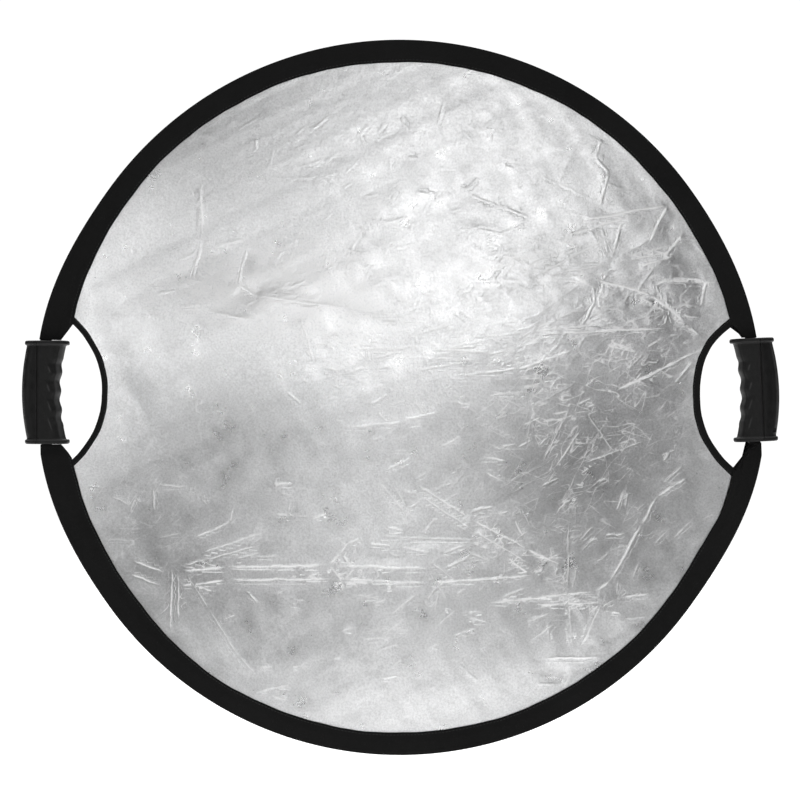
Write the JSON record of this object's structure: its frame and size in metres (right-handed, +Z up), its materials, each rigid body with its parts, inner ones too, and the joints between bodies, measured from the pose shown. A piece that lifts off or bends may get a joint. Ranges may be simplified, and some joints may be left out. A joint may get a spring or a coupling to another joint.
{
  "type": "collapsible reflector disc",
  "caption": "Round collapsible photo reflector on a sprung hoop, with a zipped reversible cover over a diffuser and a moulded hand grip in each side opening.",
  "frame": {"origin": "centre of the disc, midway between the two hand grips that hold it", "axes": "the disc stands in the XZ plane: +X towards the right grip, +Z up, -Y out of the silver face and +Y out of the zipped face"},
  "size_m": [0.8478, 0.0362, 0.8],
  "materials": {
    "rim_cloth": "black woven binding cloth, fine plain weave with stitched edges",
    "silver_foil": "crinkled silver laminate on cloth, satin to bright, many fine creases",
    "gold_foil": "gold laminate on cloth, fine woven grain, lightly creased",
    "diffuser_cloth": "translucent white nylon taffeta",
    "spring_steel": "blued flat spring steel",
    "zip_nylon": "black moulded nylon teeth on woven tape",
    "zip_metal": "black lacquered zinc, edges worn to grey metal",
    "grip_plastic": "black moulded plastic, fine satin grain",
    "grip_rubber": "black rubbery finger side, soft sheen",
    "screw_steel": "black oxide pan-head screw"
  },
  "bodies": {
    "disc": {"hoop_spring": "spring_steel", "hoop_ferrule": "spring_steel", "hoop_sleeve": "rim_cloth", "diffuser_panel": "diffuser_cloth", "diffuser_binding_left": "rim_cloth", "diffuser_binding_right": "rim_cloth", "cover_front_panel": "silver_foil", "cover_back_panel": "gold_foil", "cover_front_binding_left": "rim_cloth", "cover_front_binding_right": "rim_cloth", "cover_back_binding_left": "rim_cloth", "cover_back_binding_right": "rim_cloth", "cover_rim_upper": "rim_cloth", "cover_rim_lower": "rim_cloth", "zip_tape_rim": "rim_cloth", "zip_teeth_rim": "zip_nylon", "zip_top_stop": "zip_metal", "zip_pin_box": "zip_metal"},
    "cover_flap": {"flap_panel": "gold_foil", "flap_rim_band": "rim_cloth", "zip_tape_flap": "rim_cloth", "zip_teeth_flap": "zip_nylon"},
    "slider": {"zip_slider": "zip_metal"},
    "puller": {"zip_puller": "zip_metal"},
    "grip_left": {"grip_left_palm_shell": "grip_plastic", "grip_left_finger_shell": "grip_rubber", "grip_left_screw_top": "screw_steel", "grip_left_screw_bottom": "screw_steel"},
    "grip_right": {"grip_right_palm_shell": "grip_plastic", "grip_right_finger_shell": "grip_rubber", "grip_right_screw_top": "screw_steel", "grip_right_screw_bottom": "screw_steel"}
  },
  "joints": [
    {"name": "cover_flap_fold", "type": "hinge", "parent": "disc", "child": "cover_flap", "pos_m": [0, 0.0023, -0.1532], "axis": [1, 0, 0], "range_deg": [0, 120]},
    {"name": "zip_slide", "type": "hinge", "parent": "disc", "child": "slider", "pos_m": [0, 0, 0], "axis": [0, -1, 0], "range_deg": [0, 126]},
    {"name": "zip_puller_tilt", "type": "hinge", "parent": "slider", "child": "puller", "pos_m": [-0.34518, 0.0112, -0.18045], "axis": [-0.8862, 0, -0.4633], "range_deg": [-170, 8]},
    {"name": "grip_left_swivel", "type": "hinge", "parent": "disc", "child": "grip_left", "pos_m": [-0.3955, 0, 0.0057], "axis": [0, 0, 1], "range_deg": [-15, 15]},
    {"name": "grip_right_swivel", "type": "hinge", "parent": "disc", "child": "grip_right", "pos_m": [0.3953, 0, 0.0085], "axis": [-0.0419, 0, 0.9991], "range_deg": [-7, 23]}
  ],
  "couplings": [
    {"joint": "zip_slide", "follows": "cover_flap_fold", "ratio": 1.05}
  ]
}
